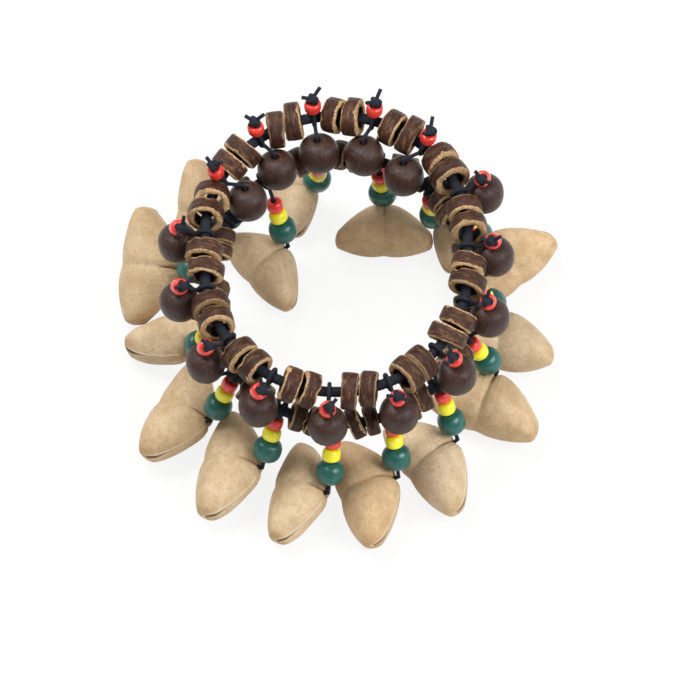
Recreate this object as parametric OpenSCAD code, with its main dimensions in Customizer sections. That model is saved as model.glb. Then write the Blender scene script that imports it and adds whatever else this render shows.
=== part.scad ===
// Nutshell shaker bracelet: two elastic loops of coconut rings, tied together by fifteen
// knotted strands, each ending in three beads and a hollow two-lobed nutshell.
// All sizes in millimetres, +Z up, origin on the table under the middle of the band.

/* [Band] */
// Radius of the round ends of the upper elastic loop
upper_radius = 38.8; // [32:0.2:44]
// Length of each straight side of the upper elastic loop
upper_straight = 11.5; // [0:0.5:16]
// Radius of the round ends of the lower elastic loop
lower_radius = 37.4; // [32:0.2:44]
// Length of each straight side of the lower elastic loop
lower_straight = 11.5; // [0:0.5:16]
// Distance between the planes of the two loops
loop_rise = 14.8; // [13.6:0.1:18]
// Sideways lean of the upper loop over the lower one
lean_side = -1.5; // [-6:0.5:6]
// Backward lean of the upper loop over the lower one
lean_back = 5; // [-6:0.5:6]
// Height of the lower loop's middle over the table
lower_height = 34; // [30:0.5:37]
// Tilt of the band towards the front, in degrees
band_tilt = 4; // [0:0.5:8]
// Diameter of the black elastic
elastic_d = 3.2; // [2.4:0.1:4]

/* [Coconut rings] */
// Outer diameter of a coconut ring
coco_d = 11.2; // [9:0.1:11.6]
// Bore of a coconut ring
coco_bore = 6.8; // [5:0.1:7]
// Length of a coconut ring along the elastic
coco_length = 5; // [3:0.1:5.4]
// Gap between the two rings of a pair
coco_gap = 0.8; // [0.5:0.1:1.2]
// Rounding of the outer edges of a coconut ring
coco_edge = 0.7; // [0.3:0.1:1]
// Largest tip of a pair of rings on the elastic, in degrees
coco_tip = 6; // [0:1:8]
// Largest tip of one ring against the other of its pair, in degrees
coco_play = 3; // [0:0.5:3]
// Size of the lower rings against the upper ones
lower_share = 0.82; // [0.76:0.02:0.9]

/* [Beads] */
// Diameter of a brown wooden bead
brown_d = 11.8; // [10:0.1:12.6]
// Length of a brown wooden bead between its flat ends
brown_length = 10.8; // [9:0.1:12]
// Diameter of a small red bead
red_d = 5; // [4:0.1:5.4]
// Length of a small red bead
red_length = 3.8; // [3:0.1:4.4]
// Diameter of a yellow bead
yellow_d = 5.5; // [4.4:0.1:5.8]
// Length of a yellow bead
yellow_length = 4.2; // [3:0.1:4.8]
// Diameter of a green wooden bead
green_d = 8.4; // [7:0.1:8.6]
// Length of a green wooden bead
green_length = 7; // [5:0.1:7.6]
// Bore of the small beads
bead_bore = 1.8; // [1.6:0.1:2.4]
// Free gap between neighbours on a cord
bead_gap = 0.25; // [0.2:0.05:0.5]

/* [Cords] */
// Diameter of the knotted cord
cord_d = 1.15; // [0.9:0.05:1.3]
// Running clearance of a cord eye on the elastic
eye_clearance = 0.15; // [0.1:0.05:0.4]
// Free cord between a brown bead and its neighbours
brown_gap = 1.2; // [0.8:0.1:2]
// Free cord between a green bead and its shell
apex_gap = 3.4; // [2.6:0.1:4]
// Diameter of a tied knot
knot_d = 3; // [2.4:0.1:3.4]
// Length of a knot's cut tail
tail_length = 2.8; // [2:0.5:6]

/* [Nutshell] */
// Length from lobe tip to lobe tip
shell_length = 39; // [32:0.5:42]
// Depth from the drilled apex to the opposite edge
shell_depth = 21; // [17:0.5:23]
// Droop of the lobe tips towards the lower edge
shell_droop = 4.5; // [0:0.5:6]
// Thickness across the two faces
shell_thick = 18.5; // [15:0.5:22]
// Wall of the shell
shell_wall = 1.4; // [1:0.1:2]
// Width of the split at a lobe tip
split_tip = 1.8; // [0.8:0.1:2.4]
// Width of the split in the middle of the lower edge
split_middle = 0.4; // [0.3:0.1:0.8]
// Bore drilled in the apex for the cord
shell_bore = 2.4; // [2:0.1:3]

/* [Hidden] */
$fn = 48;
STRANDS = 15;
FIRST_ANGLE = 100;
deg = 180 / PI;
upper_loop = 2 * PI * upper_radius + 2 * upper_straight;
lower_loop = 2 * PI * lower_radius + 2 * lower_straight;
upper_pitch = upper_loop / STRANDS;
lower_pitch = lower_loop / STRANDS;
upper_first = upper_straight / 2 + upper_radius * FIRST_ANGLE / deg;
lower_first = lower_straight / 2 + lower_radius * FIRST_ANGLE / deg;
eye_r = elastic_d / 2 + eye_clearance + cord_d / 2;
eye_side = cord_d / 2 + 0.65;
bend_d = cord_d + 0.12;
tail_start = 0.9;
tied_rise = 4;
red_start = eye_r + cord_d / 2 + bead_gap;
trio_length = red_length + yellow_length + green_length + 3 * bead_gap;
half_length = shell_length / 2;
half_depth = shell_depth / 2;
half_thick = shell_thick / 2;
table_gap = 0.1;

// Per strand: brown bead outward of the upper loop (negative is inward) and below it, and the tied end outward
BROWN = [
    [-9.4, 5, 0], [-9.4, 5, 0], [-9.4, 5, 0], [7.9, 6.9, 7.2], [7.9, 6.9, 7.2],
    [7.9, 6.9, 7.2], [8, 6.6, 6.8], [8.2, 6, 7.4], [8.2, 6, 7.4], [8.2, 6, 7.4],
    [7.9, 6.9, 7.2], [7.9, 6.9, 7.2], [7.9, 6.9, 7.2], [-9.4, 5, 0], [-9.4, 5, 0]
];
// Per strand: way of the hanging beads round the band's outward line, and slack
HANG = [
    [0, 5.6], [-76, 4.6], [0, 5.8], [34, 4.5], [16, 2.4],
    [8, 0.4], [-15, 0], [-12, 0], [-5, 1], [2, 0],
    [0, 0.4], [-20, 1.5], [-46, 1.6], [-64, 3.4], [180, 6]
];
// Per strand: heading of the shell's body, its rise, its twist and its size
SHELL = [
    [191, -30, 0, 0.66], [-91, -25, 0, 0.74], [-18, -25, 0, 0.62], [-50, -26, 0, 0.86], [-94, -26, 0, 0.84],
    [-112, -26, 0, 0.9], [-145, -24, 0, 0.9], [-164, -22, 0, 0.9], [165, -28, 0, 0.84], [165, -22, 0, 0.9],
    [152, -22, 0, 0.88], [112, -22, 0, 0.82], [164, -20, -28, 0.9], [165, -20, -28, 0.8], [218, -25, 0, 0.76]
];

// Place along a loop of two straights and two half rounds: [x, y, outward angle]
function wrapped(s, whole) = s - whole * floor(s / whole);
function on_loop(s, r, l) =
    let (arc = PI * r, q = wrapped(s, 2 * arc + 2 * l))
    q < l / 2 ? [r, q, 0] :
    q < l / 2 + arc ? round_end(deg * (q - l / 2) / r, r, l / 2) :
    q < 1.5 * l + arc ? [-r, l + arc - q, 180] :
    q < 1.5 * l + 2 * arc ? round_end(180 + deg * (q - 1.5 * l - arc) / r, r, -l / 2) :
    [r, q - 2 * l - 2 * arc, 360];
function round_end(a, r, middle) = [r * cos(a), middle + r * sin(a), a];

// The band's own frame, tilted and set over the table
function tilted(p) = [p[0], p[1] * cos(band_tilt) - p[2] * sin(band_tilt),
    p[1] * sin(band_tilt) + p[2] * cos(band_tilt)];
function placed(p) = tilted(p) + [0, 0, lower_height];
function upper_spot(s) = on_loop(s, upper_radius, upper_straight);
function lower_spot(s) = on_loop(s, lower_radius, lower_straight);
function upper_at(k) = upper_spot(upper_first - k * upper_pitch);
function lower_at(k) = lower_spot(lower_first - k * lower_pitch);
function upper_point(spot) = [spot[0] + lean_side, spot[1] + lean_back, loop_rise];
function lower_point(spot) = [spot[0], spot[1], 0];
function outward(a) = [cos(a), sin(a), 0];
function unit(v) = v / norm(v);

// A strand's points in the band's frame
function brown_middle(k) = upper_point(upper_at(k)) + outward(upper_at(k)[2]) * BROWN[k][0]
    - [0, 0, BROWN[k][1]];
function brown_outside(k) = BROWN[k][0] > 0;
function strand_line(k) = unit(upper_point(upper_at(k)) - lower_point(lower_at(k)));

function brown_enter(k) = brown_middle(k) + strand_line(k) * (brown_length / 2 + brown_gap);
function brown_leave(k) = brown_middle(k) - strand_line(k) * (brown_length / 2 + brown_gap);
function tied_end(k) = upper_point(upper_at(k)) + outward(upper_at(k)[2]) * BROWN[k][2] + [0, 0, tied_rise];
function top_line(k) = brown_outside(k) ? unit(tied_end(k) - brown_enter(k)) :
    unit(outward(upper_at(k)[2]) * 0.25 + [0, 0, 1]);
function top_from(k) = brown_outside(k) ? brown_enter(k) : upper_point(upper_at(k)) + top_line(k) * eye_r;
function top_red(k) = top_from(k) + top_line(k) * (cord_d + bead_gap + red_length / 2);
function top_tie(k) = top_red(k) + top_line(k) * (red_length / 2 + knot_d / 2 + 0.1);
// The strand's eye lies on the side that the upper loop leans to, the pendant's on the other
function tangent(a) = [-sin(a), cos(a), 0];
function lean_of(k) = (upper_point(upper_at(k)) - lower_point(lower_at(k))) * tangent(lower_at(k)[2]);
function lean_way(k) = abs(HANG[k][0] % 180) > 30 ? -sign(HANG[k][0]) : lean_of(k) < 0 ? -1 : 1;
function across(v, along_way) = v - along_way * (v * along_way);
function eye_offset(k) = tangent(lower_at(k)[2]) * eye_side * lean_way(k);

// A pendant's points over the table
function hang_from(k) = placed(lower_point(lower_at(k)));
function hang_way(k) = lower_at(k)[2] + HANG[k][0];
function bead_run() = red_start + trio_length - bead_gap + apex_gap;
function hang_drop(k) = hang_from(k)[2] - apex_height(k);
function hang_length(k) = max(bead_run() + HANG[k][1], hang_drop(k));
function side_height(p, rise, twist) = (p[0] * sin(twist) - p[1] * cos(twist)) * cos(rise) - p[2] * sin(rise);
function shell_points() = [for (v = shell_stations()) each section(v, 0)];
function apex_height(k) = table_gap
    - SHELL[k][3] * min([for (p = shell_points()) side_height(p, SHELL[k][1], SHELL[k][2])]);
function hang_dip(k) = asin(min(1, hang_drop(k) / hang_length(k)));
function hang_line(k) = [cos(hang_dip(k)) * cos(hang_way(k)), cos(hang_dip(k)) * sin(hang_way(k)),
    -sin(hang_dip(k))];
function apex_line(k) = [cos(SHELL[k][1]) * cos(SHELL[k][0]), cos(SHELL[k][1]) * sin(SHELL[k][0]),
    sin(SHELL[k][1])];
function apex(k) = hang_from(k) + hang_line(k) * hang_length(k);

module band() {
    translate([0, 0, lower_height])
        rotate([band_tilt, 0, 0])
            children();
}

module rod(p, q, d) {
    v = q - p;
    translate(p)
        rotate([0, acos(v[2] / norm(v)), atan2(v[1], v[0])])
            cylinder(h = norm(v), d = d);
}

module along(p, v) {
    translate(p)
        rotate([0, acos(v[2] / norm(v)), atan2(v[1], v[0])])
            children();
}

module loop_tube(r, l) {
    translate([0, l / 2, 0])
        rotate_extrude(angle = 180)
            translate([r, 0])
                circle(d = elastic_d);
    translate([0, -l / 2, 0])
        rotate([0, 0, 180])
            rotate_extrude(angle = 180)
                translate([r, 0])
                    circle(d = elastic_d);
    for (side = [-r, r])
        translate([side, l / 2, 0])
            rotate([90, 0, 0])
                cylinder(h = l, d = elastic_d);
}

module coco_ring(size) {
    r = size * coco_d / 2;
    rotate_extrude()
        polygon([
            [coco_bore / 2, -coco_length / 2], [r - coco_edge, -coco_length / 2],
            [r, coco_edge - coco_length / 2], [r, coco_length / 2 - coco_edge],
            [r - coco_edge, coco_length / 2], [coco_bore / 2, coco_length / 2]
        ]);
}

module coco_pair(spot, lift, number, size, share) {
    step = (share * coco_length + coco_gap) / 2;
    translate([spot[0], spot[1], 0] + lift)
        rotate([0, 0, spot[2] + coco_tip * sin(137 * number)])
            rotate([90 + coco_tip * cos(211 * number), 0, 0])
                for (way = [-1, 1])
                    translate([0, 0, way * step])
                        rotate([way * coco_play * sin(97 * number), way * coco_play * cos(59 * number), 0])
                            scale(share)
                                coco_ring(size + way * 0.02);
}

module barrel(d, h, bore) {
    r = min(0.62 * h, d / 2 - 0.1);
    rotate_extrude()
        intersection() {
            translate([bore / 2, -h / 2])
                square([d / 2 - bore / 2, h]);
            translate([d / 2 - r, 0])
                circle(r = r);
        }
}

module brown_bead() {
    difference() {
        intersection() {
            sphere(d = brown_d, $fn = 64);
            cylinder(h = brown_length, d = brown_d + 1, center = true);
        }
        cylinder(h = brown_d + 2, d = bead_bore + 0.4, center = true);
    }
}

module eye() {
    rotate([90, 0, 0])
        rotate_extrude()
            translate([eye_r, 0])
                circle(d = bend_d);
}

module upper_elastic() {
    color("#1a1c24")
        band()
            translate([lean_side, lean_back, loop_rise])
                loop_tube(upper_radius, upper_straight);
}

module lower_elastic() {
    color("#1a1c24")
        band()
            loop_tube(lower_radius, lower_straight);
}

module upper_coco_rings() {
    color("#4a3026")
        band()
            for (k = [0 : STRANDS - 1])
                coco_pair(upper_spot(upper_first - (k + 0.5) * upper_pitch),
                    [lean_side, lean_back, loop_rise], k, 0.99 + 0.02 * sin(83 * k), 1);
}

module lower_coco_rings() {
    color("#4a3026")
        band()
            for (k = [0 : STRANDS - 1])
                coco_pair(lower_spot(lower_first - (k + 0.5) * lower_pitch),
                    [0, 0, 0], k + 5, 0.99 + 0.02 * sin(71 * k), lower_share);
}

module brown_beads() {
    color("#4b3730")
        band()
            for (k = [0 : STRANDS - 1])
                along(brown_middle(k), strand_line(k))
                    brown_bead();
}

module top_red_beads() {
    color("#dc3228")
        band()
            for (k = [0 : STRANDS - 1])
                along(top_red(k), top_line(k))
                    barrel(red_d, red_length, bead_bore);
}

module knot(way) {
    rotate([70, 20, 0])
        sphere(d = knot_d, $fn = 32);
    rotate([0, 0, way])
        for (side = [-1, 1])
            rotate([0, 62 + 10 * side, 70 * side])
                translate([0, 0, tail_start])
                    cylinder(h = tail_length - 0.5 * side, d = cord_d);
}

module bent_cord(points) {
    for (i = [0 : len(points) - 2])
        rod(points[i], points[i + 1], cord_d);
    for (i = [1 : len(points) - 2])
        translate(points[i])
            sphere(d = bend_d, $fn = 24);
}

module strand_cord(k) {
    up = upper_point(upper_at(k));
    low = lower_point(lower_at(k)) + eye_offset(k);
    translate(up)
        rotate([0, 0, upper_at(k)[2]])
            eye();
    translate(low)
        rotate([0, 0, lower_at(k)[2]])
            eye();
    rod(top_from(k), top_tie(k), (cord_d + bend_d) / 2);
    along(top_tie(k), top_line(k))
        knot(47 * k + 13);
    bent_cord([up + eye_r * unit(across(brown_enter(k) - up, tangent(upper_at(k)[2]))),
        brown_enter(k), brown_leave(k),
        low + eye_r * unit(across(brown_leave(k) - low, tangent(lower_at(k)[2])))]);
}

module strand_cords() {
    color("#191c26")
        band()
            for (k = [0 : STRANDS - 1])
                strand_cord(k);
}

module pendant_cord(k) {
    from = hang_from(k) - tilted(eye_offset(k));
    knot_at = apex(k) + apex_line(k) * (shell_wall + knot_d / 2 + 1.5);
    color("#191c26") {
        translate(from)
            rotate([band_tilt, 0, 0])
                rotate([0, 0, lower_at(k)[2]])
                    eye();
        bent_cord([from + eye_r * unit(across(hang_line(k), tilted(tangent(lower_at(k)[2])))),
            hang_from(k) + hang_line(k) * (red_start - bead_gap / 2), apex(k), knot_at]);
        translate(knot_at)
            sphere(d = knot_d, $fn = 32);
    }
}

module pendant_beads(k) {
    start = red_start + hang_length(k) - bead_run();
    color("#dc3228")
        along(hang_from(k) + hang_line(k) * (start + red_length / 2), hang_line(k))
            barrel(red_d, red_length, bead_bore);
    color("#ebe11e")
        along(hang_from(k) + hang_line(k) * (start + red_length + bead_gap + yellow_length / 2), hang_line(k))
            barrel(yellow_d, yellow_length, bead_bore);
    color("#146455")
        along(apex(k) - hang_line(k) * (apex_gap + green_length / 2), hang_line(k))
            barrel(green_d, green_length, bead_bore);
}

function shell_stations() = [-1, -0.93, -0.8, -0.6, -0.4, -0.2, -0.07, 0, 0.07, 0.2, 0.4, 0.6, 0.8, 0.93, 1];
function shell_up(v) = half_depth * (0.24 + 0.76 * (1 - pow(abs(v), 2.1))) - 0.5 * max(0, 1 - abs(v) / 0.1);
function shell_out(v) = half_thick * (0.18 + 0.82 * sqrt(1 - pow(abs(v), 2.3)))
    - 0.8 * max(0, 1 - abs(v) / 0.18);
function split_half(v) = (split_middle + (split_tip - split_middle) * pow(abs(v), 3)) / 2;
function full(c) = sign(c) * pow(abs(c), 1.15);

SEGMENTS = 12;
function section(v, inset) =
    let (up = max(1.2, shell_up(v) - inset), out = max(split_half(v) + 0.15, shell_out(v) - inset))
    let (gap = asin(min(0.9, pow(split_half(v) / out, 1 / 1.15))))
    let (middle = -half_depth - shell_droop * pow(abs(v), 1.4))
    [for (i = [0 : SEGMENTS])
        let (t = -90 + gap + (360 - 2 * gap) * i / SEGMENTS)
        [v * half_length * (1 - 0.02 * inset), out * full(cos(t)), up * sin(t) + middle]];

module shell_form() {
    stations = shell_stations();
    n = SEGMENTS + 1;
    m = len(stations);
    outer = [for (v = stations) each section(v, 0)];
    inner = [for (v = stations) each section(v, shell_wall)];
    points = concat(outer, inner);
    base = n * m;
    polyhedron(points, concat(
        [for (j = [0 : m - 2], i = [0 : n - 2]) each [
            [j * n + i, (j + 1) * n + i + 1, j * n + i + 1],
            [j * n + i, (j + 1) * n + i, (j + 1) * n + i + 1]]],
        [for (j = [0 : m - 2], i = [0 : n - 2]) each [
            [base + j * n + i, base + j * n + i + 1, base + (j + 1) * n + i + 1],
            [base + j * n + i, base + (j + 1) * n + i + 1, base + (j + 1) * n + i]]],
        [for (j = [0 : m - 2]) each [
            [j * n, base + (j + 1) * n, (j + 1) * n],
            [j * n, base + j * n, base + (j + 1) * n],
            [j * n + n - 1, (j + 1) * n + n - 1, base + (j + 1) * n + n - 1],
            [j * n + n - 1, base + (j + 1) * n + n - 1, base + j * n + n - 1]]],
        [for (i = [0 : n - 2]) each [
            [i, base + i + 1, base + i],
            [i, i + 1, base + i + 1],
            [base - n + i, 2 * base - n + i + 1, base - n + i + 1],
            [base - n + i, 2 * base - n + i, 2 * base - n + i + 1]]]));
}

module nutshell() {
    difference() {
        shell_form();
        translate([0, 0, -4])
            cylinder(h = 8, d = shell_bore, $fn = 24);
    }
}

module shell_of(k) {
    color("#cdb48c")
        translate(apex(k))
            rotate([0, 0, SHELL[k][0]])
                rotate([0, -SHELL[k][1], 0])
                    rotate([SHELL[k][2], 0, 0])
                        rotate([0, -90, 0])
                            rotate([0, 0, 90])
                                scale(SHELL[k][3])
                                    nutshell();
}

upper_elastic();
lower_elastic();
upper_coco_rings();
lower_coco_rings();
brown_beads();
top_red_beads();
strand_cords();
shell_of(0);  // nutshell_01
shell_of(1);  // nutshell_02
shell_of(2);  // nutshell_03
shell_of(3);  // nutshell_04
shell_of(4);  // nutshell_05
shell_of(5);  // nutshell_06
shell_of(6);  // nutshell_07
shell_of(7);  // nutshell_08
shell_of(8);  // nutshell_09
shell_of(9);  // nutshell_10
shell_of(10);  // nutshell_11
shell_of(11);  // nutshell_12
shell_of(12);  // nutshell_13
shell_of(13);  // nutshell_14
shell_of(14);  // nutshell_15
pendant_beads(0);  // pendant_beads_01
pendant_beads(1);  // pendant_beads_02
pendant_beads(2);  // pendant_beads_03
pendant_beads(3);  // pendant_beads_04
pendant_beads(4);  // pendant_beads_05
pendant_beads(5);  // pendant_beads_06
pendant_beads(6);  // pendant_beads_07
pendant_beads(7);  // pendant_beads_08
pendant_beads(8);  // pendant_beads_09
pendant_beads(9);  // pendant_beads_10
pendant_beads(10);  // pendant_beads_11
pendant_beads(11);  // pendant_beads_12
pendant_beads(12);  // pendant_beads_13
pendant_beads(13);  // pendant_beads_14
pendant_beads(14);  // pendant_beads_15
pendant_cord(0);  // pendant_cord_01
pendant_cord(1);  // pendant_cord_02
pendant_cord(2);  // pendant_cord_03
pendant_cord(3);  // pendant_cord_04
pendant_cord(4);  // pendant_cord_05
pendant_cord(5);  // pendant_cord_06
pendant_cord(6);  // pendant_cord_07
pendant_cord(7);  // pendant_cord_08
pendant_cord(8);  // pendant_cord_09
pendant_cord(9);  // pendant_cord_10
pendant_cord(10);  // pendant_cord_11
pendant_cord(11);  // pendant_cord_12
pendant_cord(12);  // pendant_cord_13
pendant_cord(13);  // pendant_cord_14
pendant_cord(14);  // pendant_cord_15
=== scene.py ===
"""Dresses the nutshell shaker bracelet: shells, coconut rings, beads, cords, light and camera."""

import math
import random

import bpy
import numpy as np
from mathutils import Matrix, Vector


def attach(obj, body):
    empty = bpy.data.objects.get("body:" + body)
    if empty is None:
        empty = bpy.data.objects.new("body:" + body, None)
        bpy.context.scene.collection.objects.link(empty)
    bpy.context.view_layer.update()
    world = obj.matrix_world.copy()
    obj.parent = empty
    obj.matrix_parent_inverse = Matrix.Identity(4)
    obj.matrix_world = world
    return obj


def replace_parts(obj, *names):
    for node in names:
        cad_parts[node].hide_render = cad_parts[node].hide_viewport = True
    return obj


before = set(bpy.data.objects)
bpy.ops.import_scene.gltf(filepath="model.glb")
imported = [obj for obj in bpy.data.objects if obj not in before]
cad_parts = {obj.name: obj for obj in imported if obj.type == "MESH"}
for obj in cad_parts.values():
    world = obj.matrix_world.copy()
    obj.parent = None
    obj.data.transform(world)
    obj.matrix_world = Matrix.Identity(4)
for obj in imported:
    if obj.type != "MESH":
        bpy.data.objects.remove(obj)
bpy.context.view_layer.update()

MM = 0.001
PENDANTS = [f"{k:02d}" for k in range(1, 16)]


# places of the solids, read from the frame

WELD = 0.002 * MM


def welded(node):
    """A CAD node's points and triangles, with doubled points joined."""
    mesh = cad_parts[node].data
    mesh.calc_loop_triangles()
    points = np.array([v.co for v in mesh.vertices], float)
    corners = np.array([t.vertices[:] for t in mesh.loop_triangles])
    keys = np.round(points / WELD).astype(np.int64)
    _, first, index = np.unique(keys, axis=0, return_index=True, return_inverse=True)
    return points[first], index.reshape(-1)[corners]


def islands(triangles, count):
    """Label of the solid that each point belongs to."""
    label = np.arange(count)
    while True:
        low = label[triangles].min(axis=1)
        new = label.copy()
        for corner in range(3):
            np.minimum.at(new, triangles[:, corner], low)
        if (new == label).all():
            return label
        label = new


class Solid:
    """One closed solid of a node: its middle, its main axes by size, and its points."""

    def __init__(self, points, triangles):
        a, b, c = (points[triangles[:, i]] for i in range(3))
        six = np.einsum("ij,ij->i", a, np.cross(b, c))
        self.volume = six.sum() / 6
        self.middle = ((a + b + c) * six[:, None]).sum(0) / 24 / self.volume
        a, b, c = a - self.middle, b - self.middle, c - self.middle
        six = np.einsum("ij,ij->i", a, np.cross(b, c))
        spread = sum(np.einsum("i,ij,ik->jk", six, p, p) for p in (a, b, c, a + b + c)) / 120
        self.values, vectors = np.linalg.eigh(spread)
        self.axes = vectors.T
        self.points = points[np.unique(triangles)]

    def turning_axis(self):
        """The axis of a turned solid: the one whose spread is unlike the other two."""
        low, mid, high = self.values
        return self.axes[0] if mid - low > high - mid else self.axes[2]

    def reach(self, axis):
        """Lowest and highest place of the solid along an axis through its middle."""
        along = (self.points - self.middle) @ axis
        return along.min(), along.max()

    def radii(self, axis):
        """Distance of each point from an axis through the middle."""
        arms = self.points - self.middle
        return np.linalg.norm(arms - np.outer(arms @ axis, axis), axis=1)


def solids(node):
    """The separate solids of a node."""
    points, triangles = welded(node)
    label = islands(triangles, len(points))
    owner = label[triangles[:, 0]]
    return [Solid(points, triangles[owner == one]) for one in np.unique(owner)]


def frame_on(axis):
    """Three unit vectors with the last along axis."""
    z = np.asarray(axis) / np.linalg.norm(axis)
    side = np.array([1.0, 0, 0]) if abs(z[0]) < 0.8 else np.array([0, 1.0, 0])
    x = np.cross(side, z)
    x /= np.linalg.norm(x)
    return np.array([x, np.cross(z, x), z])


# helpers for materials


def new_material(name):
    """A material with its node tree and its main shader."""
    material = bpy.data.materials.new(name)
    material.use_nodes = True
    return material, material.node_tree, material.node_tree.nodes["Principled BSDF"]


def add(tree, kind, **sockets):
    """A node with its named input values set; a value that is a socket is linked."""
    node = tree.nodes.new(kind)
    for name, value in sockets.items():
        socket = node.inputs[name.replace("_", " ")]
        if isinstance(value, bpy.types.NodeSocket):
            tree.links.new(value, socket)
        else:
            socket.default_value = value
    return node


def math_node(tree, operation, a, b):
    """A sum, product or the like of a socket and a second socket or number."""
    node = tree.nodes.new("ShaderNodeMath")
    node.operation = operation
    tree.links.new(a, node.inputs[0])
    if isinstance(b, bpy.types.NodeSocket):
        tree.links.new(b, node.inputs[1])
    else:
        node.inputs[1].default_value = b
    return node.outputs[0]


def ramp(tree, factor, *stops):
    """A colour ramp of (place, colour) stops."""
    node = tree.nodes.new("ShaderNodeValToRGB")
    tree.links.new(factor, node.inputs["Fac"])
    elements = node.color_ramp.elements
    while len(elements) < len(stops):
        elements.new(0.5)
    for element, (place, colour) in zip(elements, stops):
        element.position = place
        element.color = (*colour, 1)
    return node.outputs["Color"]


def mix(tree, factor, a, b, blend="MIX"):
    """Colour a blended with colour b by a factor."""
    node = tree.nodes.new("ShaderNodeMix")
    node.data_type = "RGBA"
    node.blend_type = blend
    for socket, value in ((node.inputs[0], factor), (node.inputs[6], a), (node.inputs[7], b)):
        if isinstance(value, bpy.types.NodeSocket):
            tree.links.new(value, socket)
        else:
            socket.default_value = value if isinstance(value, float) else (*value, 1)
    return node.outputs[2]


def mark(tree, name, output="Fac"):
    """A value that the mesh carries on its points."""
    node = tree.nodes.new("ShaderNodeAttribute")
    node.attribute_name = name
    return node.outputs[output]


def noise(tree, where, scale, detail=4.0, rough=0.55, stretch=(1, 1, 1)):
    """Noise of 0 to 1; the scale is per unit of where."""
    place = add(tree, "ShaderNodeMapping", Vector=where, Scale=stretch).outputs["Vector"]
    settings = {"Scale": scale, "Detail": detail, "Roughness": rough}
    return add(tree, "ShaderNodeTexNoise", Vector=place, **settings).outputs["Fac"]


def bump(tree, shader, height, depth):
    """Fine relief from a height of 0 to 1, depth metres deep."""
    node = add(tree, "ShaderNodeBump", Height=height, Distance=depth, Strength=1.0)
    tree.links.new(node.outputs["Normal"], shader.inputs["Normal"])


def level(tree, value, low, high):
    """A value of 0 to 1 spread from low to high."""
    return add(tree, "ShaderNodeMapRange", Value=value, To_Min=low, To_Max=high).outputs["Result"]


def finish_shader(tree, shader, colour, roughness, **settings):
    """Links colour and roughness, and sets the shader's plain values."""
    tree.links.new(colour, shader.inputs["Base Color"])
    tree.links.new(roughness, shader.inputs["Roughness"])
    for name, value in settings.items():
        shader.inputs[name.replace("_", " ")].default_value = value


def grey(value):
    """A colour of three equal parts."""
    return (value, value, value)


# materials

BLACK = grey(0)
WHITE = grey(1)
SHELL_PALE = (0.70, 0.57, 0.40)
SHELL_TAN = (0.53, 0.40, 0.245)
SHELL_RUST = (0.45, 0.29, 0.14)
SHELL_DARK = (0.27, 0.165, 0.08)
SHELL_TONE = (0.93, 0.82, 0.68)
SHELL_WEAR = (0.88, 0.77, 0.62)
SHELL_SEAM = (0.74, 0.62, 0.43)
SHELL_SHADE = (0.045, 0.024, 0.012)
COCO_BLACK = (0.020, 0.009, 0.006)
COCO_DARK = (0.056, 0.022, 0.012)
COCO_WORN = (0.155, 0.072, 0.036)
COCO_PALE = (0.64, 0.475, 0.29)
COCO_CUT = (0.45, 0.28, 0.13)
COCO_FIBRE = (0.15, 0.072, 0.03)
COCO_STAIN = (0.13, 0.066, 0.036)
COCO_TONE = (0.6, 0.55, 0.55)
COCO_SHADE = (0.012, 0.007, 0.005)
BROWN_DARK = (0.014, 0.006, 0.005)
BROWN_MID = (0.046, 0.018, 0.011)
BROWN_PALE = (0.13, 0.055, 0.028)
BROWN_DULL = (0.042, 0.023, 0.020)
NAVY = (0.005, 0.006, 0.011)
NAVY_LINT = (0.017, 0.020, 0.032)
RED, RED_DEEP = (0.78, 0.045, 0.03), (0.62, 0.02, 0.015)
YELLOW, YELLOW_DEEP = (0.90, 0.84, 0.02), (0.84, 0.74, 0.012)
GREEN, GREEN_DEEP = (0.009, 0.125, 0.10), (0.004, 0.07, 0.062)


def shell_material():
    """Pale tan nutshell: grain along the shell, rusty mottle, dark specks, worn ends."""
    material, tree, shader = new_material("nutshell_skin")
    base = mark(tree, "base", "Vector")
    patches = noise(tree, base, 0.13, 3.0)
    grain = noise(tree, base, 0.7, 6.0, 0.72, (0.25, 1, 1))
    mottle = noise(tree, base, 0.42, 6.0, 0.78)
    specks = noise(tree, base, 2.0, 5.0, 0.75)
    colour = ramp(tree, patches, (0.3, SHELL_TAN), (0.6, SHELL_PALE))
    colour = mix(tree, level(tree, grain, 0.0, 0.5), colour, SHELL_TAN)
    blots = ramp(tree, mottle, (0.46, BLACK), (0.68, grey(0.6)))
    colour = mix(tree, blots, colour, SHELL_RUST)
    dots = ramp(tree, specks, (0.5, BLACK), (0.66, grey(0.5)))
    colour = mix(tree, dots, colour, SHELL_DARK)
    colour = mix(tree, mark(tree, "tone"), colour, SHELL_TONE, "MULTIPLY")
    colour = mix(tree, mark(tree, "wear"), colour, SHELL_WEAR, "MULTIPLY")
    colour = mix(tree, mark(tree, "seam"), colour, SHELL_SEAM)
    colour = mix(tree, mark(tree, "shade"), colour, SHELL_SHADE)
    roughness = level(tree, grain, 0.48, 0.68)
    finish_shader(tree, shader, colour, roughness, Specular_IOR_Level=0.32)
    bump(tree, shader, mix(tree, 0.5, grain, specks), 0.3 * MM)
    return material


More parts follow.
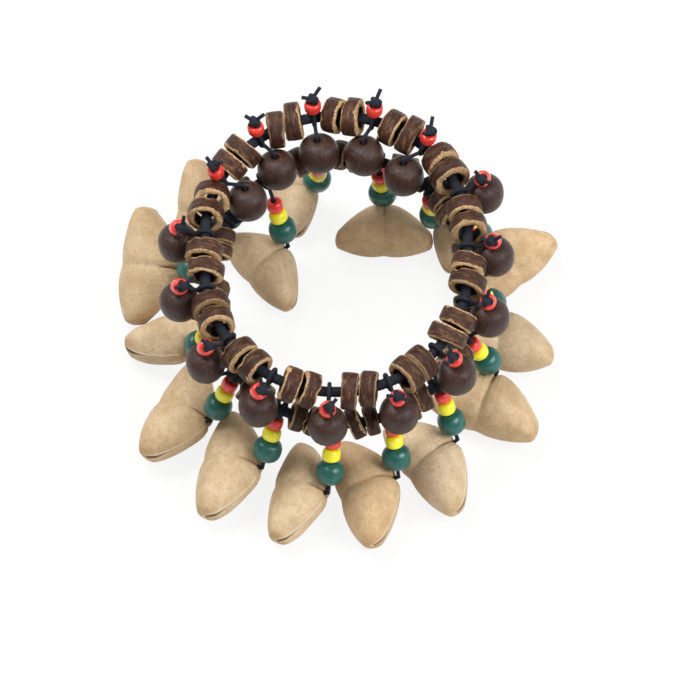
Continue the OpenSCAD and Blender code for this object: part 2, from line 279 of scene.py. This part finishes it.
def coco_material():
    """Coconut shell: dark and streaked outside, pale and fibrous where it is cut."""
    material, tree, shader = new_material("coconut_shell")
    base = mark(tree, "base", "Vector")
    streaks = noise(tree, base, 0.55, 7.0, 0.75, (0.55, 0.55, 2.4))
    flecks = noise(tree, base, 1.9, 5.0, 0.75)
    clouds = noise(tree, base, 0.3, 3.0)
    stops = (0.38, COCO_BLACK), (0.5, COCO_DARK), (0.6, COCO_WORN), (0.74, COCO_CUT)
    outside = ramp(tree, streaks, *stops)
    outside = mix(tree, level(tree, clouds, 0.0, 0.45), outside, COCO_DARK)
    outside = mix(tree, mark(tree, "tone"), outside, COCO_TONE, "MULTIPLY")
    inside = ramp(tree, flecks, (0.34, COCO_FIBRE), (0.48, COCO_CUT), (0.64, COCO_PALE))
    inside = mix(tree, mark(tree, "age"), inside, COCO_STAIN)
    edge = math_node(tree, "ADD", mark(tree, "cut"), level(tree, flecks, -0.5, 0.5))
    sharp = ramp(tree, edge, (0.42, BLACK), (0.56, WHITE))
    colour = mix(tree, sharp, outside, inside)
    colour = mix(tree, mark(tree, "shade"), colour, COCO_SHADE)
    roughness = level(tree, sharp, 0.28, 0.85)
    finish_shader(tree, shader, colour, roughness, Specular_IOR_Level=0.2)
    bump(tree, shader, mix(tree, 0.5, streaks, flecks), 0.4 * MM)
    return material


def brown_material():
    """Dark brown wood with its grain along the bead's hole."""
    material, tree, shader = new_material("brown_bead_wood")
    base = mark(tree, "base", "Vector")
    grain = noise(tree, base, 0.7, 6.0, 0.7, (2.2, 2.2, 0.35))
    patches = noise(tree, base, 0.22, 3.0)
    colour = ramp(tree, grain, (0.34, BROWN_DARK), (0.55, BROWN_MID), (0.75, BROWN_PALE))
    dull = ramp(tree, patches, (0.42, BLACK), (0.62, grey(0.8)))
    colour = mix(tree, dull, colour, BROWN_DULL)
    gloss = {"Specular_IOR_Level": 0.28, "Coat_Weight": 0.08, "Coat_Roughness": 0.25}
    finish_shader(tree, shader, colour, level(tree, grain, 0.2, 0.4), **gloss)
    bump(tree, shader, grain, 0.3 * MM)
    return material


def bead_material(name, light, dark, rough, coat):
    """Painted bead of a slightly clouded colour."""
    material, tree, shader = new_material(name)
    base = mark(tree, "base", "Vector")
    clouds = noise(tree, base, 0.5, 4.0)
    fine = noise(tree, base, 3.0, 3.0)
    colour = ramp(tree, clouds, (0.3, dark), (0.65, light))
    roughness = level(tree, fine, rough - 0.06, rough + 0.1)
    finish_shader(tree, shader, colour, roughness, Coat_Weight=coat, Coat_Roughness=0.15)
    bump(tree, shader, fine, 0.06 * MM)
    return material


def cord_material():
    """Dark blue fibre."""
    material, tree, shader = new_material("navy_cord")
    where = tree.nodes.new("ShaderNodeTexCoord").outputs["Object"]
    fibres = noise(tree, where, 2600.0, 3.0, 0.7)
    colour = ramp(tree, fibres, (0.3, NAVY), (0.75, NAVY_LINT))
    roughness = level(tree, fibres, 0.65, 0.9)
    finish_shader(tree, shader, colour, roughness, Specular_IOR_Level=0.3)
    bump(tree, shader, fibres, 0.2 * MM)
    return material


def floor_material(name, white):
    """A pale floor that keeps shadows; white is the share of plain white in a picture of it."""
    material, tree, shader = new_material(name)
    where = tree.nodes.new("ShaderNodeTexCoord").outputs["Object"]
    colour = ramp(tree, noise(tree, where, 3.0, 2.0), (0.3, grey(0.80)), (0.7, grey(0.83)))
    tree.links.new(colour, shader.inputs["Base Color"])
    shader.inputs["Roughness"].default_value = 0.8
    shader.inputs["Specular IOR Level"].default_value = 0.1
    path = tree.nodes.new("ShaderNodeLightPath").outputs
    seen = math_node(tree, "MAXIMUM", path["Is Camera Ray"], path["Is Glossy Ray"])
    share = math_node(tree, "MULTIPLY", seen, white)
    glow = add(tree, "ShaderNodeEmission", Strength=1.0)
    both = tree.nodes.new("ShaderNodeMixShader")
    for socket, source in zip(both.inputs, (share, shader.outputs[0], glow.outputs[0])):
        tree.links.new(source, socket)
    tree.links.new(both.outputs[0], tree.nodes["Material Output"].inputs["Surface"])
    return material


# mesh pieces


def piece(name, made, material, body):
    """A smooth mesh in metres that rides on a body.

    made is its points, its faces and named values on its points for the material.
    """
    points, faces, marks = made
    mesh = bpy.data.meshes.new(name)
    mesh.from_pydata([tuple(p) for p in points], [], faces)
    mesh.polygons.foreach_set("use_smooth", [True] * len(mesh.polygons))
    for key, values in marks.items():
        values = np.asarray(values, np.float32)
        kind, field = ("FLOAT_VECTOR", "vector") if values.ndim == 2 else ("FLOAT", "value")
        mesh.attributes.new(key, kind, "POINT").data.foreach_set(field, values.ravel())
    mesh.materials.append(material)
    obj = bpy.data.objects.new(name, mesh)
    bpy.context.scene.collection.objects.link(obj)
    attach(obj, body)
    return obj


def joined(parts):
    """Several (points, faces, marks) as one."""
    points, faces, marks, start = [], [], {}, 0
    for part_points, part_faces, part_marks in parts:
        points.append(part_points)
        faces += [tuple(i + start for i in face) for face in part_faces]
        for key, values in part_marks.items():
            marks.setdefault(key, []).append(values)
        start += len(part_points)
    marks = {key: np.concatenate(values) for key, values in marks.items()}
    return np.concatenate(points), faces, marks


def grid_faces(rows, columns, wrap=False):
    """Quads of a grid of points, row by row; wrapped, it closes both ways."""
    faces = []
    for r in range(rows if wrap else rows - 1):
        for c in range(columns if wrap else columns - 1):
            a, b = r % rows * columns, (r + 1) % rows * columns
            d = (c + 1) % columns
            faces.append((a + c, a + d, b + d, b + c))
    return faces


def drawn_vector(draw, most):
    """A random vector with each part between -most and most."""
    return np.array([draw.uniform(-most, most) for _ in range(3)])


# beads

BEAD_STEPS = 25
BORE_SHARE = 0.92
BORE_HEIGHTS = (0.85, 0.3, -0.3, -0.85)
BEAD_SHIFT = 40
BEAD_SEED_STEP = 7
SMALL_SEGMENTS = 44
SMALL_WOBBLE = 0.02
TRIO_FORMS = (("red", 0.95 * MM, 0.62), ("yellow", 0.95 * MM, 0.66), ("green", 1.0 * MM, 0.78))


def turned(solid, profile, segments, seed, wobble):
    """A bead turned about its solid's axis from a closed profile of (radius, height).

    The wobble is how far it is out of true, as a share of its size.
    """
    axes = frame_on(solid.turning_axis())
    draw = random.Random(seed)
    phase = [draw.uniform(0, 2 * math.pi) for _ in range(3)]
    angle = np.linspace(0, 2 * math.pi, segments, endpoint=False)
    swell = 1 + wobble * (np.cos(2 * angle + phase[0]) + 0.5 * np.cos(3 * angle + phase[1]))
    radius = np.outer(swell, [r for r, _ in profile])
    height = np.outer(1 + wobble * np.cos(angle + phase[2]), [h for _, h in profile])
    turn = angle[:, None]
    local = np.stack([radius * np.cos(turn), radius * np.sin(turn), height], -1).reshape(-1, 3)
    base = local / MM + drawn_vector(draw, BEAD_SHIFT)
    faces = grid_faces(segments, len(profile), wrap=True)
    return solid.middle + local @ axes, faces, {"base": base}


def bead_profile(solid, bore, fullness):
    """Closed profile of a round bead of the solid's own size, with soft lips at the bore."""
    axis = solid.turning_axis()
    low, high = solid.reach(axis)
    half = (high - low) / 2
    radius = solid.radii(axis).max()
    profile = []
    for a in np.linspace(-90, 90, BEAD_STEPS):
        c, s = math.cos(math.radians(a)), math.sin(math.radians(a))
        out = bore + (radius - bore) * max(c, 0) ** fullness
        profile.append((out, half * math.copysign(abs(s) ** fullness, s)))
    return profile + [(bore * BORE_SHARE, half * share) for share in BORE_HEIGHTS]


def bead(solid, bore, fullness, segments, seed, wobble):
    """A round bead of the solid's own size."""
    return turned(solid, bead_profile(solid, bore, fullness), segments, seed, wobble)


def dress_trio(number, skins):
    """The red, yellow and green bead of a pendant, told apart by size."""
    node = "pendant_beads_" + number
    trio = sorted(solids(node), key=lambda solid: solid.volume)
    for solid, (name, bore, fullness) in zip(trio, TRIO_FORMS):
        seed = int(number) * BEAD_SEED_STEP + len(name)
        made = bead(solid, bore, fullness, SMALL_SEGMENTS, seed, SMALL_WOBBLE)
        obj = piece(f"{name}_bead_{number}", made, skins[name], "pendant_" + number)
        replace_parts(obj, node)


def dress_band_beads(node, name, slot, skin, seed, **form):
    """All beads of a node of the band, as one piece."""
    beads = [bead(solid, seed=seed + i, **form) for i, solid in enumerate(solids(node))]
    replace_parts(piece(name, joined(beads), skin, "band"), node)


# nutshells: lengths in mm in the shell's own frame, shares of its half length from middle to tip

SHELL_HALF_LENGTH = 19.5
SHELL_HALF_DEPTH = 10.5
SHELL_HALF_THICK = 9.25
SHELL_DROOP = 4.5
SHELL_WALL = 1.4
STATIONS = 121
AROUND = 97
DEPTH_AT_TIP, DEPTH_SPAN, DEPTH_POWER = 0.24, 0.76, 2.1
THICK_AT_TIP, THICK_SPAN, THICK_POWER = 0.18, 0.82, 2.3
DROOP_POWER = 1.4
STATION_EVEN, STATION_CROWD, AROUND_CROWD = 0.55, 0.45, 0.06
TIP_START, TIP_LENGTH, TIP_LEAST = 0.94, 0.06, 0.003
WAIST_WIDTH, WAIST_DIP, WAIST_PINCH = 0.13, 0.3, 0.55
LEAST_HALF = 0.15
SPLIT_CLOSED, SPLIT_START, SPLIT_LENGTH, SPLIT_MOST = 0.05, 0.72, 0.24, 0.85
SECTION_POWER = 1.15
SEAM_WIDTH, SEAM_HEIGHT, SEAM_START = 0.75, 0.28, 0.1
LIP_WIDTH, LIP_START = 0.22, 0.12
SEAM_FADE = 0.2
GROOVE_WIDTH, GROOVE_DEPTH, GROOVE_FADE = 0.014, 0.5, 0.35
GROOVE_WANDER, GROOVE_WAVES = 0.012, 3.1
VALLEY_WIDTH, VALLEY_DEPTH, VALLEY_START, VALLEY_FADE = 0.075, 0.4, -0.7, 0.9
FOLD_WIDTH = 0.03
PIT_RADIUS, PIT_DEPTH = 1.25, 1.0
WRINKLE_HEIGHT, WRINKLE_SPAN = 0.085, 0.24
FLAT_SIDE, FLAT_SIDE_WIDTH = 0.75, 0.3
FLAT_PLACE, FLAT_LENGTH = 0.45, 0.25
WEAR_START, WEAR_LENGTH, WAIST_WEAR = 0.8, 0.2, 0.5
INNER_SHADE = 0.85
SHELL_SHIFT = 90
SHELL_SEED_STEP = 11
LUMPS = 4
LUMP_RANGES = ((1, 4), (0.5, 2), (0.05, 0.2), (0, 6.3))


def hill(x, width):
    """A smooth hill of height 1 at 0."""
    return np.exp(-((x / width) ** 2))


def rise(x, start, length):
    """0 up to start, and from there straight up to 1."""
    return np.clip((x - start) / length, 0, 1)


def shell_section(reach):
    """Half height, half thickness and middle height of a section at a share of the length."""
    up = SHELL_HALF_DEPTH * (DEPTH_AT_TIP + DEPTH_SPAN * (1 - reach**DEPTH_POWER))
    bulge = np.sqrt(np.clip(1 - reach**THICK_POWER, 0, 1))
    out = SHELL_HALF_THICK * (THICK_AT_TIP + THICK_SPAN * bulge)
    return up, out, -SHELL_HALF_DEPTH - SHELL_DROOP * reach**DROOP_POWER


def shell_skin_points(inset, look):
    """Points of a shell's outer skin, or of one set in from it, with its marks."""
    u = np.linspace(-1, 1, STATIONS)
    v = (STATION_EVEN * u + STATION_CROWD * np.sin(u * math.pi / 2))[:, None]
    reach = np.abs(v)
    tip_turn = np.clip(reach - TIP_START, 0, 1) / TIP_LENGTH
    tip = np.sqrt(np.clip(1 - tip_turn**2, TIP_LEAST, 1))
    up, out, middle = shell_section(reach)
    waist = hill(v, WAIST_WIDTH)
    up = np.maximum(up * tip - WAIST_DIP * waist - inset, LEAST_HALF)
    out = np.maximum((out - WAIST_PINCH * waist) * tip - inset, LEAST_HALF)

    # the split runs along the apex side and opens towards the tips
    end = np.where(v > 0, look["open"][0], look["open"][1])
    opening = SPLIT_CLOSED + end * rise(reach, SPLIT_START, SPLIT_LENGTH) ** 2
    gap = np.arcsin(np.minimum(SPLIT_MOST, (opening / out) ** (1 / SECTION_POWER)))
    share = np.linspace(0, 1, AROUND)[None, :]
    share = share - AROUND_CROWD * np.sin(2 * math.pi * share)
    turn = math.pi / 2 + gap + (2 * math.pi - 2 * gap) * share
    c, s = np.cos(turn), np.sin(turn)
    across = out * np.sign(c) * np.abs(c) ** SECTION_POWER
    over = up * s
    marks = {"seam": 0 * across, "shade": 0 * across + INNER_SHADE, "wear": 0 * across}

    if inset == 0:
        seam = np.minimum(share, 1 - share) * math.pi * (up + out)
        ridge = hill(seam, SEAM_WIDTH) * rise(reach, SEAM_START, SEAM_FADE)
        fold_place = v - GROOVE_WANDER * np.sin(GROOVE_WAVES * c + look["phase"])
        groove = hill(fold_place, GROOVE_WIDTH) * rise(s, look["crease"], GROOVE_FADE)
        valley = VALLEY_DEPTH * hill(fold_place, VALLEY_WIDTH)
        valley = valley + look["fold"] * hill(fold_place, FOLD_WIDTH)
        valley = valley * rise(s, VALLEY_START, VALLEY_FADE)
        pit_reach = (v * SHELL_HALF_LENGTH / PIT_RADIUS) ** 2 + (c * out / PIT_RADIUS) ** 2
        pit = np.exp(-pit_reach) * (s > 0)
        growth = SEAM_HEIGHT * ridge - GROOVE_DEPTH * groove - valley - PIT_DEPTH * pit
        fan = np.sin(v * 74 + 5.0 * c + look["phase"]) + 0.6 * np.sin(v * 123 - 4.0 * c)
        growth += WRINKLE_HEIGHT * fan * hill(reach, WRINKLE_SPAN) * np.clip(s + 0.1, 0, 1)
        for fx, fy, size, phase in look["lumps"]:
            growth += size * np.sin(fx * v + fy * c + phase) * (1 - reach**4)
        flat = look["flat"] * hill(np.abs(c) - FLAT_SIDE, FLAT_SIDE_WIDTH)
        growth -= flat * hill(reach - FLAT_PLACE, FLAT_LENGTH)
        radius = np.hypot(across, over) + 1e-6
        across = across * (1 + growth / radius)
        over = over * (1 + growth / radius)
        lip = hill(seam, LIP_WIDTH) * rise(reach, LIP_START, SEAM_FADE)
        wear = rise(reach, WEAR_START, WEAR_LENGTH) ** 2
        wear = wear + WAIST_WEAR * waist * np.clip(s, 0, 1) ** 2
        marks = {
            "seam": 0.8 * ridge * (1 - 0.8 * lip),
            "shade": np.clip(0.85 * groove + 0.9 * pit + 0.3 * lip, 0, 1),
            "wear": np.clip(wear, 0, 1),
        }

    along = np.broadcast_to(v * (SHELL_HALF_LENGTH - 0.7 * inset), across.shape)
    points = np.stack([along, across, over + middle], -1).reshape(-1, 3)
    return points, {key: values.ravel() for key, values in marks.items()}


def shell_look(draw):
    """What sets one shell apart from the others."""
    return {
        "lumps": [[draw.uniform(*ends) for ends in LUMP_RANGES] for _ in range(LUMPS)],
        "open": (draw.uniform(0.25, 0.85), draw.uniform(0.2, 0.7)),
        "phase": draw.uniform(0, 6.3),
        "crease": draw.uniform(0.3, 0.6),
        "flat": draw.uniform(0.2, 0.55),
        "fold": draw.uniform(0.15, 0.45),
    }


def shell_mesh(seed):
    """A closed hollow shell: outer and inner skin joined along the split and at the tips."""
    draw = random.Random(seed)
    look = shell_look(draw)
    outer, outer_marks = shell_skin_points(0, look)
    inner, inner_marks = shell_skin_points(SHELL_WALL, look)
    base = len(outer)
    skin = grid_faces(STATIONS, AROUND)
    faces = skin + [tuple(i + base for i in face[::-1]) for face in skin]
    for r in range(STATIONS - 1):
        a, b = r * AROUND, (r + 1) * AROUND
        faces.append((a, b, b + base, a + base))
        a, b = a + AROUND - 1, b + AROUND - 1
        faces.append((b, a, a + base, b + base))
    last = (STATIONS - 1) * AROUND
    for i in range(AROUND - 1):
        faces.append((i + 1, i, i + base, i + 1 + base))
        faces.append((last + i, last + i + 1, last + i + 1 + base, last + i + base))
    points = np.concatenate([outer, inner])
    marks = {key: np.concatenate([outer_marks[key], inner_marks[key]]) for key in outer_marks}
    marks["base"] = points + drawn_vector(draw, SHELL_SHIFT)
    marks["tone"] = np.full(len(points), draw.uniform(0, 0.9))
    return points, faces, marks


def dress_shell(number, skin):
    """Puts a shell on its solid: long axis by the solid's spread, apex on the green bead's side."""
    node = "nutshell_" + number
    solid = solids(node)[0]
    green = max(solids("pendant_beads_" + number), key=lambda solid: solid.volume)
    towards = green.middle - solid.middle
    long_axis = solid.axes[2]
    apex_axis = max(solid.axes[:2], key=lambda axis: abs(axis @ towards))
    if towards @ apex_axis < 0:
        apex_axis = -apex_axis
    axes = np.array([long_axis, np.cross(apex_axis, long_axis), apex_axis])
    points, faces, marks = shell_mesh(int(number) * SHELL_SEED_STEP)
    ends = [solid.reach(axis) for axis in axes]
    size = (ends[0][1] - ends[0][0]) / (2 * SHELL_HALF_LENGTH)
    up, _, middle = shell_section(np.linspace(0, 1, 101))
    plain_middle = ((middle + up).max() + (middle - up).min()) / 2
    centre = np.array([(low + high) / 2 for low, high in ends])
    local = (points - [0, 0, plain_middle]) * size + centre
    made = solid.middle + local @ axes, faces, marks
    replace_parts(piece("shell_" + number, made, skin, "pendant_" + number), node)


# coconut rings

RING_SEGMENTS = 72
RING_EDGE = 0.6 * MM
UPPER_LEAN = 0.35
LOWER_LEAN = 0.26
RING_LEAN = 0.03
RING_SHIFT = 60
RING_AGES = (0, 0, 0.1, 0.3, 0.6)
OVAL, THIRD_OVAL, ROUGH, TRIM = 0.026, 0.014, 0.006, 0.01
HOLLOW, FINE_HOLLOW = 0.06, 0.04
FACE_TRIM, FACE_SLANT, FACE_WAVE = 0.03, 0.06, 0.03
CHIPS = (2, 3, 4, 5)
CHIP_WIDTHS = (0.08, 0.3)
CHIP_BITES = (0.3, 0.95)
CHIP_INWARD, CHIP_PALE = 0.4, 0.8


def ring_profile(radius, bore, half):
    """Closed profile of a ring: rows of radius, height, share of cut face and share of shade."""
    middle = (radius + bore) / 2
    side = (
        (bore, 0.5 * MM, 0.4, 0.85),
        (bore + 0.2 * MM, 0.08 * MM, 1, 0.25),
        (middle - 0.35 * MM, 0, 1, 0),
        (middle + 0.45 * MM, 0, 1, 0),
        (radius - RING_EDGE, 0.05 * MM, 1, 0),
        (radius - 0.25 * RING_EDGE, 0.4 * RING_EDGE, 0.68, 0),
        (radius, 1.2 * RING_EDGE, 0.18, 0),
    )
    profile = [(r, -half + depth, cut, shade) for r, depth, cut, shade in side]
    for place, swell in ((-0.4, 0.05 * MM), (0, 0.08 * MM), (0.4, 0.05 * MM)):
        profile.append((radius + swell, place * half, 0, 0))
    profile += [(r, half - depth, cut, shade) for r, depth, cut, shade in reversed(side)]
    return profile + [(bore, 0, 0.2, 1)]


def coco_ring(solid, seed, lean):
    """A ring cut from coconut shell: leaning on its elastic, out of round, with chipped edges."""
    draw = random.Random(seed)
    axis = solid.turning_axis()
    low, high = solid.reach(axis)
    half = (high - low) / 2
    radii = solid.radii(axis)
    radius, bore = radii.max(), radii.min()
    axis = axis if axis @ np.cross([0, 0, 1], solid.middle) > 0 else -axis
    axes = frame_on(axis + lean - axis * (lean @ axis))
    profile = ring_profile(radius, bore, half)
    angle = np.linspace(0, 2 * math.pi, RING_SEGMENTS, endpoint=False)[:, None]
    r, h, cut, shade = (np.array(column)[None, :] + 0 * angle for column in zip(*profile))

    # out of round outside and in the bore, with faces that aren't quite flat
    phase = [draw.uniform(0, 2 * math.pi) for _ in range(6)]
    outer = np.clip((r - bore) / (radius - bore), 0, 1)
    oval = OVAL * np.cos(2 * angle + phase[0]) + THIRD_OVAL * np.cos(3 * angle + phase[1])
    rough = ROUGH * np.sin(11 * angle + phase[2]) + ROUGH * np.sin(17 * angle + 9 * h / half)
    r = r * (1 + (oval + rough - TRIM) * outer)
    hollow = HOLLOW * np.cos(2 * angle + phase[3]) + FINE_HOLLOW * np.cos(5 * angle + phase[4])
    r = r * (1 + hollow * (1 - outer))
    face = np.abs(h) / half
    wave = FACE_TRIM + FACE_SLANT * np.cos(angle + phase[5])
    wave = wave + FACE_WAVE * np.cos(7 * angle + phase[1])
    h = h * (1 - face * wave)

    for _ in range(draw.choice(CHIPS)):
        place, width = draw.uniform(0, 6.3), draw.uniform(*CHIP_WIDTHS)
        bite = draw.uniform(*CHIP_BITES) * MM
        side = draw.choice([-1, 1])
        near = hill((angle - place + math.pi) % (2 * math.pi) - math.pi, width)
        hit = near * np.clip(side * h / half, 0, 1) ** 2 * outer
        h = h - side * bite * hit
        r = r - CHIP_INWARD * bite * hit
        cut = np.clip(cut + CHIP_PALE * hit, 0, 1)

    local = np.stack([r * np.cos(angle), r * np.sin(angle), h], -1).reshape(-1, 3)
    marks = {
        "base": local / MM + drawn_vector(draw, RING_SHIFT),
        "cut": cut.ravel(),
        "shade": 0.9 * shade.ravel(),
        "tone": np.full(len(local), draw.uniform(0, 1)),
        "age": np.full(len(local), draw.choice(RING_AGES)),
    }
    return solid.middle + local @ axes, grid_faces(RING_SEGMENTS, len(profile), wrap=True), marks


def in_pairs(rings):
    """Rings in order round their loop, starting with a pair that lies close together."""
    rings = sorted(rings, key=lambda ring: math.atan2(ring.middle[1], ring.middle[0]))
    first, second, last = (rings[i].middle for i in (0, 1, -1))
    if np.linalg.norm(first - last) < np.linalg.norm(first - second):
        rings = rings[-1:] + rings[:-1]
    return rings


def dress_rings(node, seed, pair_lean, skin):
    """Rings on a loop; the two of a pair lean nearly alike, as they lie against each other."""
    draw = random.Random(seed)
    rings = []
    for i, solid in enumerate(in_pairs(solids(node))):
        if i % 2 == 0:
            shared = drawn_vector(draw, 1) * pair_lean
        own = drawn_vector(draw, 1) * RING_LEAN
        rings.append(coco_ring(solid, seed + i, shared + own))
    name = node.replace("coco_rings", "rings")
    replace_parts(piece(name, joined(rings), skin, "band"), node)


# elastic and knots

RIB_PITCH = 0.95 * MM
RIB_DEPTH = 0.07
ELASTIC_SIDES = 18
ELASTIC_SHARE = 0.97
CORD_RADIUS = 0.6 * MM
CORD_SIDES = 12
CORD_TWIST = 1800
KNOT_POINTS = 64
KNOT_SCALE = 0.575 * MM
KNOT_LIFT = 1.25 * MM
KNOT_LOBES = 1.6
KNOT_WEAVE = -1.5
KNOT_FLATTEN = 0.85
STRAND_RELIEF = 0.10


def loop_tube(path, radius, sides, swell, twist=0.0):
    """A tube along a closed path, twisted by radians per metre.

    swell is a function of (length along, angle) that scales the radius.
    """
    path = np.asarray(path, float)
    ahead = np.roll(path, -1, axis=0) - np.roll(path, 1, axis=0)
    ahead /= np.linalg.norm(ahead, axis=1)[:, None]
    steps = np.linalg.norm(np.diff(path, axis=0), axis=1)
    along = np.concatenate([[0], np.cumsum(steps)])
    angle = np.linspace(0, 2 * math.pi, sides, endpoint=False)
    normal = np.cross(ahead[0], frame_on(ahead[0])[0])
    rows = []
    for point, way, length in zip(path, ahead, along):
        normal = normal - way * (normal @ way)
        normal /= np.linalg.norm(normal)
        turn = angle + twist * length
        arms = np.outer(np.cos(turn), normal) + np.outer(np.sin(turn), np.cross(way, normal))
        rows.append(point + radius * swell(length, angle)[:, None] * arms)
    return np.concatenate(rows), grid_faces(len(path), sides, wrap=True), {}


def ribs(along, angle):
    """Ribs across the covered elastic."""
    height = RIB_DEPTH * math.cos(2 * math.pi * along / RIB_PITCH) / 2
    return np.full_like(angle, ELASTIC_SHARE + height)


def strands(along, angle):
    """Three strands along a cord; the tube's twist lays them round it."""
    return 1 + STRAND_RELIEF * np.cos(3 * angle)


def loop_place(s, radius, straight):
    """Place at a length s along a loop of two half rounds and two straights."""
    arc = math.pi * radius
    if s < arc:
        a = s / radius
        return radius * math.cos(a), straight / 2 + radius * math.sin(a)
    if s < arc + straight:
        return -radius, straight / 2 - (s - arc)
    if s < 2 * arc + straight:
        a = math.pi + (s - arc - straight) / radius
        return radius * math.cos(a), -straight / 2 + radius * math.sin(a)
    return radius, -straight / 2 + (s - 2 * arc - straight)


def dress_elastic(node, skin):
    """Ribbed covered elastic on the node's own loop."""
    solid = solids(node)[0]
    up = solid.axes[np.argmin([np.ptp(solid.points @ axis) for axis in solid.axes])]
    up = up if up[2] > 0 else -up
    side = np.array([1.0, 0, 0])
    back = np.cross(up, side)
    places = [(axis, solid.points @ axis) for axis in (side, back, up)]
    width, length, thickness = (np.ptp(place) for _, place in places)
    centre = sum(axis * place.min() + axis * place.max() for axis, place in places) / 2
    wire = thickness / 2
    radius, straight = width / 2 - wire, length - width
    path = []
    for s in np.arange(0, 2 * math.pi * radius + 2 * straight, RIB_PITCH / 4):
        x, y = loop_place(s, radius, straight)
        path.append(centre + x * side + y * back)
    made = loop_tube(path, wire, ELASTIC_SIDES, ribs)
    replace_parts(piece(node + "_ribbed", made, skin, "band"), node)


def knot(centre, way, seed):
    """A tied knot as a trefoil of cord; its two cut tails are the solid's own."""
    axes = frame_on(way)
    turn = random.Random(seed).uniform(0, 2 * math.pi)
    path = []
    for a in np.linspace(0, 2 * math.pi, KNOT_POINTS, endpoint=False):
        x = math.sin(a) + KNOT_LOBES * math.sin(2 * a)
        y = math.cos(a) - KNOT_LOBES * math.cos(2 * a)
        z = KNOT_WEAVE * math.sin(3 * a)
        x, y = x * math.cos(turn) - y * math.sin(turn), x * math.sin(turn) + y * math.cos(turn)
        path.append(centre + KNOT_SCALE * np.array([x, y, KNOT_FLATTEN * z]) @ axes)
    return loop_tube(path, CORD_RADIUS, CORD_SIDES, strands, CORD_TWIST)


def dress_knots(seed, skin):
    """A knot on top of each top red bead."""
    knots = []
    for i, solid in enumerate(solids("top_red_beads")):
        axis = solid.turning_axis()
        axis = axis if axis[2] > 0 else -axis
        height = solid.reach(axis)[1] + KNOT_LIFT
        knots.append(knot(solid.middle + axis * height, axis, seed + i))
    piece("tied_knots", joined(knots), skin, "band")


# build

shell_skin = shell_material()
coco_skin = coco_material()
brown_skin = brown_material()
bead_skins = {
    "red": bead_material("red_gloss", RED, RED_DEEP, rough=0.22, coat=0.4),
    "yellow": bead_material("yellow_gloss", YELLOW, YELLOW_DEEP, rough=0.22, coat=0.4),
    "green": bead_material("green_paint", GREEN, GREEN_DEEP, rough=0.32, coat=0.25),
}
cord_skin = cord_material()
brown_form = {"bore": 1.15 * MM, "fullness": 0.86, "segments": 64, "wobble": 0.012, "seed": 300}
red_form = {"bore": 1.0 * MM, "fullness": 0.6, "seed": 350}
red_form.update(segments=SMALL_SEGMENTS, wobble=SMALL_WOBBLE)

for number in PENDANTS:
    dress_shell(number, shell_skin)
    dress_trio(number, bead_skins)
dress_rings("upper_coco_rings", seed=100, pair_lean=UPPER_LEAN, skin=coco_skin)
dress_rings("lower_coco_rings", seed=200, pair_lean=LOWER_LEAN, skin=coco_skin)
dress_band_beads("brown_beads", "brown_wood_beads", "brown_wood", brown_skin, **brown_form)
dress_band_beads("top_red_beads", "top_red_gloss_beads", "red_bead", bead_skins["red"], **red_form)
dress_elastic("upper_elastic", cord_skin)
dress_elastic("lower_elastic", cord_skin)
dress_knots(seed=400, skin=cord_skin)
for node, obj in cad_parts.items():
    if "cord" in node:
        obj.data.materials.clear()
        obj.data.materials.append(cord_skin)

# floor and light

FLOOR_HALF = 3.0
FLOOR_CORNERS = ((-1, -1), (1, -1), (1, 1), (-1, 1))
FLOOR_WHITE = 0.86
BACKDROP_HEIGHT = -0.25
WORLD_STRENGTH = 0.42
LAMP_AIM = Vector((0, 0, 0.02))


def ground(name, height, material):
    """A wide level plane of the stage."""
    mesh = bpy.data.meshes.new(name)
    corners = [(x * FLOOR_HALF, y * FLOOR_HALF, height) for x, y in FLOOR_CORNERS]
    mesh.from_pydata(corners, [], [(0, 1, 2, 3)])
    mesh.materials.append(material)
    floor = bpy.data.objects.new(name, mesh)
    bpy.context.scene.collection.objects.link(floor)


def lamp(name, place, size, power):
    """A square soft lamp aimed at the bracelet, in metres and watts."""
    data = bpy.data.lights.new(name, "AREA")
    data.size = size
    data.energy = power
    obj = bpy.data.objects.new(name, data)
    obj.location = place
    obj.rotation_euler = (LAMP_AIM - Vector(place)).to_track_quat("-Z", "Y").to_euler()
    bpy.context.scene.collection.objects.link(obj)


ground("floor", 0, floor_material("pale_floor", FLOOR_WHITE))
# level views can start below the floor, where they would show the grey of the world
ground("backdrop", BACKDROP_HEIGHT, floor_material("white_backdrop", 1.0))

world = bpy.data.worlds.new("soft_room")
world.use_nodes = True
sky = world.node_tree.nodes["Background"]
sky.inputs["Color"].default_value = (*WHITE, 1)
sky.inputs["Strength"].default_value = WORLD_STRENGTH
bpy.context.scene.world = world

lamp("key", (-0.35, 0.3, 0.9), size=0.5, power=9.5)
lamp("fill", (0.65, -0.25, 0.7), size=0.6, power=8.5)

# camera: the origin of the frame falls on one pixel of the photograph

MM_PER_PIXEL = 0.295
FRAME_PIXELS = 680
MIDDLE_PIXEL = (341.4, 344.0)
ELEVATION = math.radians(62)
CAMERA_DISTANCE = 0.8

pixel = MM_PER_PIXEL * MM
half_frame = FRAME_PIXELS / 2
camera_data = bpy.data.cameras.new("camera")
camera_data.type = "ORTHO"
camera_data.ortho_scale = FRAME_PIXELS * pixel
camera = bpy.data.objects.new("camera", camera_data)
aim_x = (half_frame - MIDDLE_PIXEL[0]) * pixel
aim_y = (MIDDLE_PIXEL[1] - half_frame) * pixel / math.sin(ELEVATION)
back = Vector((0, -math.cos(ELEVATION), math.sin(ELEVATION)))
camera.location = Vector((aim_x, aim_y, 0)) + back * CAMERA_DISTANCE
camera.rotation_euler = (-back).to_track_quat("-Z", "Y").to_euler()
bpy.context.scene.collection.objects.link(camera)
bpy.context.scene.camera = camera
bpy.context.scene.view_settings.view_transform = "Standard"
